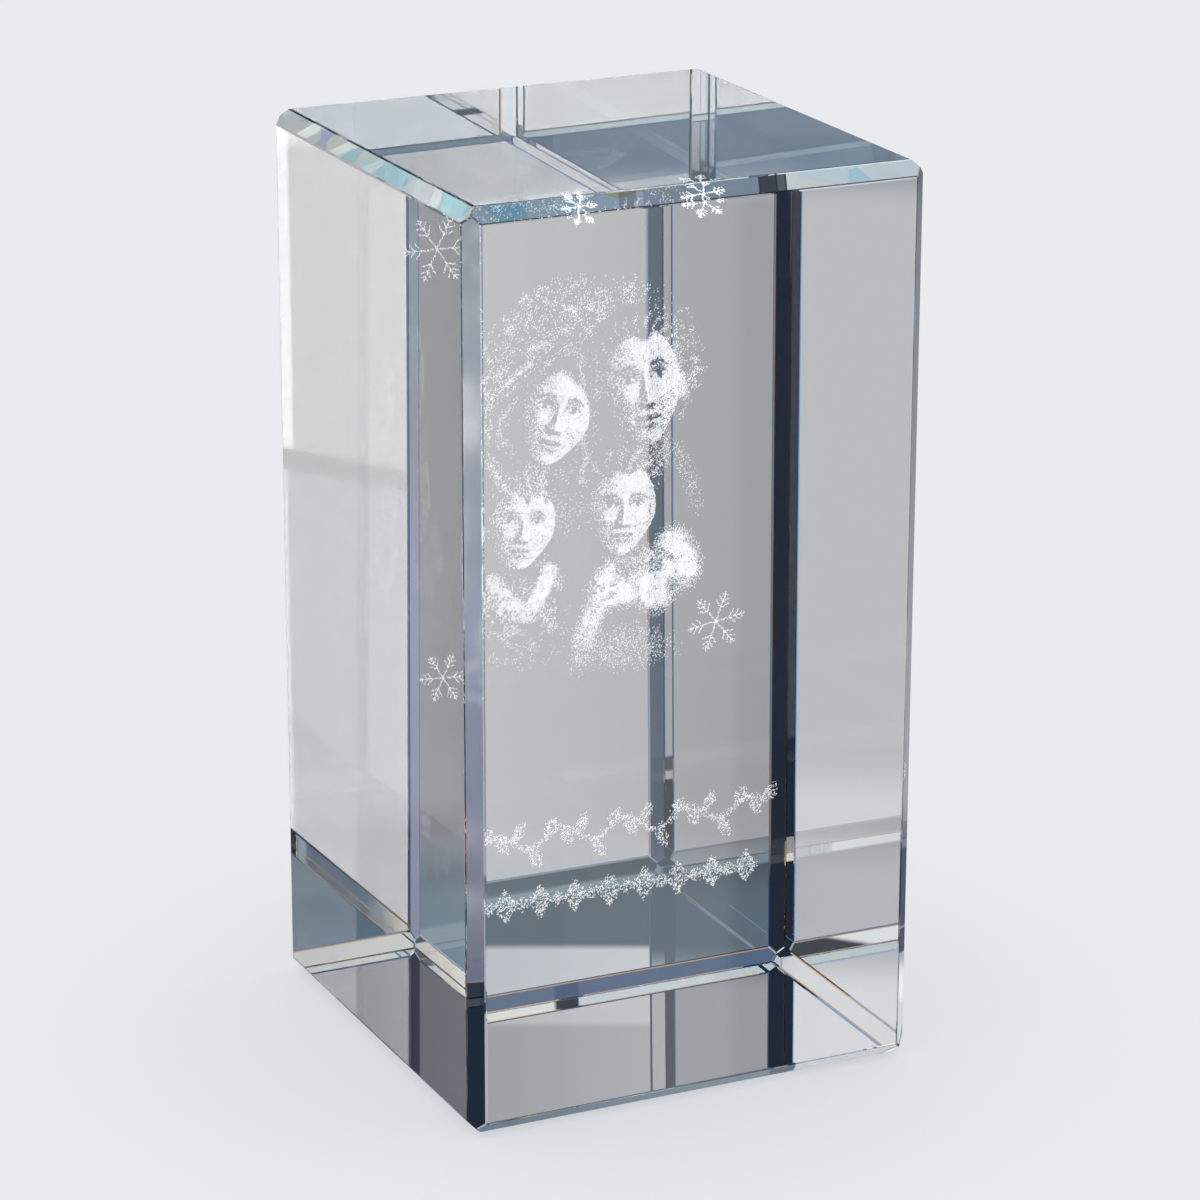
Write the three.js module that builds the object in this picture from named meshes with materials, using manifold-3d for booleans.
// Engraved crystal block: a solid, polished tower of optical crystal with bright
// chamfers, and a picture of tiny white cracks written inside it.
// Units are millimetres. +Z is up, the base rests on z = 0, the front face looks to -Y.
import * as THREE from "three";
import { ConvexGeometry } from "three/addons/geometries/ConvexGeometry.js";
import { mergeVertices } from "three/addons/utils/BufferGeometryUtils.js";
import Module from "manifold-3d";

const wasm = await Module();
wasm.setup();

// ---- driving dimensions -------------------------------------------------------------
const BLOCK_W = 60; // along X
const BLOCK_D = 60; // along Y
const BLOCK_H = 115; // along Z
const CHAMFER = 1.8; // leg of the 45 degree chamfer on all twelve edges

const GAP = 0.32; // clear space between an engraved figure and the crystal around it
const ROOM = 0.6; // clear space round the flat engraved bodies, which sit in plain thin pockets
const VENT = 0.5; // side of the square relief channel under each engraved pocket

const Y_MAIN = 12; // depth of the engraved picture plane
const Y_ADULT = 12.2; // middle depth of the two adults
const Y_CHILD = 6.9; // middle depth of the two children
const Y_BACK = 16.2; // depth of the dappled backdrop

const FLAKE_T = 0.7; // thickness of the engraved snowflakes
const FINE_T = 0.5; // thickness of the two small snowflakes close under the front top edge
const FINE_ROOM = 0.45; // clear space round those two
const LINE_T = 0.8; // thickness of the two engraved ornament lines

// centre x, y, z, arm length and turn of each snowflake; the two near the left face also have the yaw
// of their plane in degrees, how much wider than high they are, and the rise of their wide axis; the two
// close under the front top edge lean back by the last value, in degrees
const FLAKES = {
  snowflake_top_left: [-22.8, -16.3, 107.2, 4.3, 0.1, -53.6, 1.86, 0.16],
  snowflake_top_centre: [-15.0, -27.33, 112.9, 2.3, 0.05, 0, 1, 0, 58],
  snowflake_top_right: [1.1, -26.7, 112.5, 3.0, 0.08, 0, 1, 0, 58],
  snowflake_lower_right: [13.6, 8.0, 53.0, 4.0, 0.16],
  snowflake_lower_left: [-24.6, -18.3, 55.2, 3.3, 0.08, -54.3, 1.75, 0.23],
};

// Every figure is a list of rounded masses: centre x, z, depth shift, half sizes x, y, z, lean
// (radians, positive leans the top to +X).
const FIGURES = {
  portrait_adult_left: {
    y: Y_ADULT,
    masses: [
      [-7.2, 81.6, -0.5, 4.9, 1.9, 6.4, 0.3], // face
      [-9.2, 81.0, 0.5, 6.3, 1.5, 9.2, 0.25], // long hair
      [-10.2, 73.0, 0.3, 2.6, 1.4, 4.5, 0.1], // neck
      [-9.8, 67.6, 0.2, 8.0, 1.6, 5.2, 0.0], // shoulders
    ],
  },
  portrait_adult_right: {
    y: Y_ADULT,
    masses: [
      [4.6, 84.0, -0.5, 5.2, 1.9, 7.7, -0.12], // face
      [4.2, 86.8, 0.4, 5.6, 1.6, 6.2, -0.12], // short hair
      [6.0, 75.0, 0.3, 3.0, 1.4, 5.0, 0.0], // neck
      [8.4, 69.4, 0.2, 8.2, 1.6, 5.6, 0.0], // shoulders
    ],
  },
  portrait_child_left: {
    y: Y_CHILD,
    masses: [
      [-13.3, 69.2, -0.4, 4.7, 1.8, 5.6, 0.12], // face
      [-13.5, 70.8, 0.3, 5.0, 1.5, 5.1, 0.12], // hair
      [-13.2, 62.8, 0.2, 2.0, 1.3, 3.0, 0.0], // neck
      [-13.0, 57.6, 0.2, 6.6, 1.6, 6.4, 0.0], // collar and shoulders
    ],
  },
  portrait_child_right: {
    y: Y_CHILD,
    masses: [
      [0.2, 69.6, -0.4, 4.8, 1.8, 5.9, 0.06], // face
      [0.2, 71.4, 0.3, 5.1, 1.5, 5.3, 0.06], // hair
      [0.6, 63.0, 0.2, 2.0, 1.3, 3.0, 0.0], // neck
      [1.6, 57.4, 0.2, 7.0, 1.6, 6.6, 0.0], // light top
      [7.8, 62.2, 0.0, 3.2, 1.4, 4.2, -0.4], // sleeve
    ],
  },
};
const BACKDROP = { x: -1.6, z: 85.5, rx: 17.0, rz: 14.0, t: 0.8 };

// ornament lines: middle height, half length, and the rhythm of what hangs on them
const VINE = { z: 26.8, half: 22.0, swing: 1.1, period: 8.8, stem: 0.7, leafL: 3.0, leafW: 1.5 };
const BEADS = { z: 18.5, half: 20.4, bar: 0.6, pitch: 4.8, diaX: 1.7, diaZ: 2.3, bead: 0.9 };

// ---- helpers -----------------------------------------------------------------------
function solid(geometry) {
  const g = geometry.clone();
  g.deleteAttribute("normal");
  if (g.getAttribute("uv")) g.deleteAttribute("uv");
  const m = mergeVertices(g, 1e-5);
  const index = m.index ? m.index.array : Uint32Array.from({ length: m.attributes.position.count }, (_, i) => i);
  return new wasm.Manifold(
    new wasm.Mesh({
      numProp: 3,
      vertProperties: Float32Array.from(m.attributes.position.array),
      triVerts: Uint32Array.from(index),
    }),
  );
}

function joined(list) {
  let out = list[0];
  for (let i = 1; i < list.length; i++) out = out.add(list[i]);
  return out;
}

function meshOf(body, name, material) {
  const raw = body.getMesh();
  const g = new THREE.BufferGeometry();
  const p = new Float32Array((raw.vertProperties.length / raw.numProp) * 3);
  for (let i = 0, j = 0; i < raw.vertProperties.length; i += raw.numProp) {
    p[j++] = raw.vertProperties[i];
    p[j++] = raw.vertProperties[i + 1];
    p[j++] = raw.vertProperties[i + 2];
  }
  g.setAttribute("position", new THREE.BufferAttribute(p, 3));
  g.setIndex(new THREE.BufferAttribute(Uint32Array.from(raw.triVerts), 1));
  g.computeVertexNormals();
  const mesh = new THREE.Mesh(g, material);
  mesh.name = name;
  return mesh;
}

// a plate whose outline is drawn in x, z and whose thickness runs along y
function plate(points, y, thick) {
  const shape = new THREE.Shape(points.map(([x, z]) => new THREE.Vector2(x, z)));
  const g = new THREE.ExtrudeGeometry(shape, { depth: thick, bevelEnabled: false, curveSegments: 1 });
  g.rotateX(Math.PI / 2); // outline x, z; extrusion runs to -y
  g.translate(0, y + thick / 2, 0);
  return solid(g);
}

// ---- the crystal -------------------------------------------------------------------
function chamferedBlock(w, d, h, c) {
  const points = [];
  for (const sx of [-1, 1]) {
    for (const sy of [-1, 1]) {
      for (const sz of [0, 1]) {
        const x = (sx * w) / 2;
        const y = (sy * d) / 2;
        const z = sz * h;
        const dx = -sx * c;
        const dy = -sy * c;
        const dz = sz ? -c : c;
        points.push(new THREE.Vector3(x, y + dy, z + dz)); // corner of a side face
        points.push(new THREE.Vector3(x + dx, y, z + dz));
        points.push(new THREE.Vector3(x + dx, y + dy, z)); // corner of the top or base
        points.push(new THREE.Vector3(x + dx / 2, y + dy / 2, z + dz / 2)); // where three chamfers meet
      }
    }
  }
  return solid(new ConvexGeometry(points));
}

// ---- engraved bodies ---------------------------------------------------------------
// `more` grows a body evenly: 0 for the engraved body, GAP for the pocket around it.
function figure({ y, masses }, more) {
  return joined(
    masses.map(([x, z, dy, rx, ry, rz, lean]) => {
      const g = new THREE.SphereGeometry(1, 12, 8);
      g.scale(rx + more, ry + more, rz + more);
      g.rotateY(lean);
      g.translate(x, y + dy, z);
      return solid(g);
    }),
  );
}

function backdrop({ x, z, rx, rz, t }, more) {
  const g = new THREE.CylinderGeometry(1, 1, t + 2 * more, 28, 1);
  g.scale(rx + more, 1, rz + more);
  g.translate(x, Y_BACK, z);
  return solid(g);
}

function bar(cx, cz, length, width, thick, angle, y) {
  const g = new THREE.BoxGeometry(length, thick, width);
  g.rotateY(-angle);
  g.translate(cx, y, cz);
  return solid(g);
}

// a body drawn round the origin, put in a snowflake's place and plane
function placed(body, [x, y, z, , , yaw = 0, wide = 1, rise = 0, back = 0]) {
  const a = (yaw * Math.PI) / 180;
  const c = Math.cos(a);
  const s = Math.sin(a);
  const b = (back * Math.PI) / 180;
  const p = Math.cos(b);
  const q = Math.sin(b);
  return body.transform([wide * c, wide * s, wide * rise, 0, -s * p, c * p, -q, 0, -s * q, c * q, p, 0, x, y, z, 1]);
}

function flake(spec) {
  const [, , , r, turn, , , , back] = spec;
  const parts = [];
  const w = 0.13 * r;
  const t = back ? FINE_T : FLAKE_T;
  for (let k = 0; k < 6; k++) {
    const a = turn + (k * Math.PI) / 3;
    const ca = Math.cos(a);
    const sa = Math.sin(a);
    if (k < 3) parts.push(bar(0, 0, 2 * r, w, t, a, 0)); // two arms in one bar
    for (const [at, len] of [
      [0.5, 0.36],
      [0.76, 0.24],
    ]) {
      for (const side of [-1, 1]) {
        const b = a + (side * Math.PI) / 3;
        const l = len * r;
        parts.push(bar(at * r * ca + 0.5 * l * Math.cos(b), at * r * sa + 0.5 * l * Math.sin(b), l, w * 0.9, t, b, 0));
      }
    }
  }
  return placed(joined(parts), spec);
}

// six-sided thin pocket for a snowflake
function flakePocket(spec) {
  const [, , , r, turn, , , , back] = spec;
  const size = back ? r + FINE_ROOM : r * 1.08 + ROOM;
  const g = new THREE.CylinderGeometry(size, size, (back ? FINE_T : FLAKE_T) + 2 * GAP, 6, 1);
  g.rotateY(Math.PI / 2 - turn);
  return placed(solid(g), spec);
}

// thin pocket with straight sides for an ornament line
function linePocket(halfX, z, halfZ) {
  return bar(0, z, 2 * (halfX + ROOM), 2 * (halfZ + ROOM), LINE_T + 2 * GAP, 0, Y_MAIN);
}

// a wavy stem with leaves on both sides
function vine({ z, half, swing, period, stem, leafL, leafW }) {
  const wave = (x) => z + swing * Math.sin((2 * Math.PI * x) / period);
  const upper = [];
  const lower = [];
  const steps = 40;
  const hw = stem / 2;
  for (let i = 0; i <= steps; i++) {
    const x = -half + (2 * half * i) / steps;
    const slope = ((2 * Math.PI * swing) / period) * Math.cos((2 * Math.PI * x) / period);
    const n = Math.hypot(1, slope);
    upper.push([x - (hw * slope) / n, wave(x) + hw / n]);
    lower.push([x + (hw * slope) / n, wave(x) - hw / n]);
  }
  const t = LINE_T;
  const parts = [plate([...upper, ...lower.reverse()], Y_MAIN, t)];
  for (let x = -half + period / 4; x < half; x += period / 4) {
    const k = Math.round((x + half) / (period / 4));
    const dir = k % 2 ? 1 : -1;
    const a = dir * 1.05;
    const root = [x, wave(x)];
    const l = leafL;
    const w = leafW / 2;
    const at = (s, n) => [root[0] + s * Math.cos(a) - n * Math.sin(a), root[1] + s * Math.sin(a) + n * Math.cos(a)];
    parts.push(plate([at(-0.25, 0), at(0.35 * l, -w), at(0.62 * l, -w * 0.9), at(l, 0), at(0.62 * l, w * 0.9), at(0.35 * l, w)], Y_MAIN, t));
  }
  return joined(parts);
}

// a fine bar strung with lozenges and round beads
function beads({ z, half, bar: wide, pitch, diaX, diaZ, bead }) {
  const t = LINE_T;
  const parts = [bar(0, z, 2 * half, wide, t, 0, Y_MAIN)];
  const n = Math.floor((half - diaX) / pitch);
  for (let i = -n; i <= n; i++) {
    const x = i * pitch;
    parts.push(plate([[x - diaX, z], [x, z - diaZ], [x + diaX, z], [x, z + diaZ]], Y_MAIN, t));
    if (i < n) {
      const g = new THREE.CylinderGeometry(bead, bead, t, 10, 1);
      g.translate(x + pitch / 2, Y_MAIN, z);
      parts.push(solid(g));
    }
  }
  return joined(parts);
}

// ---- assembly ----------------------------------------------------------------------
const crystalMaterial = new THREE.MeshStandardMaterial({ color: 0xdde5ea, roughness: 0.02, metalness: 0 });
const engravedMaterial = new THREE.MeshStandardMaterial({ color: 0xf7f8fa, roughness: 0.9, metalness: 0 });

const group = new THREE.Group();
group.name = "engraved_crystal_block";

let crystal = chamferedBlock(BLOCK_W, BLOCK_D, BLOCK_H, CHAMFER);
const engraved = [];

// an engraved body, the pocket it lies in, and the point inside that pocket that its relief channel rises to
function engrave(name, body, pocket, [vx, vy, vz]) {
  engraved.push(meshOf(body, name, engravedMaterial));
  crystal = crystal.subtract(pocket);
  const g = new THREE.BoxGeometry(VENT, VENT, vz + 2);
  g.translate(vx, vy, (vz + 2) / 2 - 2);
  crystal = crystal.subtract(solid(g));
}

for (const [name, spec] of Object.entries(FIGURES)) {
  const torso = spec.masses[3];
  engrave(name, figure(spec, 0), figure(spec, GAP), [torso[0], spec.y + torso[2], torso[1]]);
}
engrave("portrait_backdrop", backdrop(BACKDROP, 0), backdrop(BACKDROP, GAP), [BACKDROP.x, Y_BACK, BACKDROP.z]);
for (const [name, spec] of Object.entries(FLAKES)) {
  engrave(name, flake(spec), flakePocket(spec), spec.slice(0, 3));
}
engrave("ornament_line_upper", vine(VINE), linePocket(VINE.half + 1.2, VINE.z, VINE.swing + VINE.leafL), [VINE.half, Y_MAIN, VINE.z]);
engrave("ornament_line_lower", beads(BEADS), linePocket(BEADS.half, BEADS.z, BEADS.diaZ), [BEADS.half - 2, Y_MAIN, BEADS.z]);

group.add(meshOf(crystal, "crystal_block", crystalMaterial));
for (const mesh of engraved) group.add(mesh);

export default group;
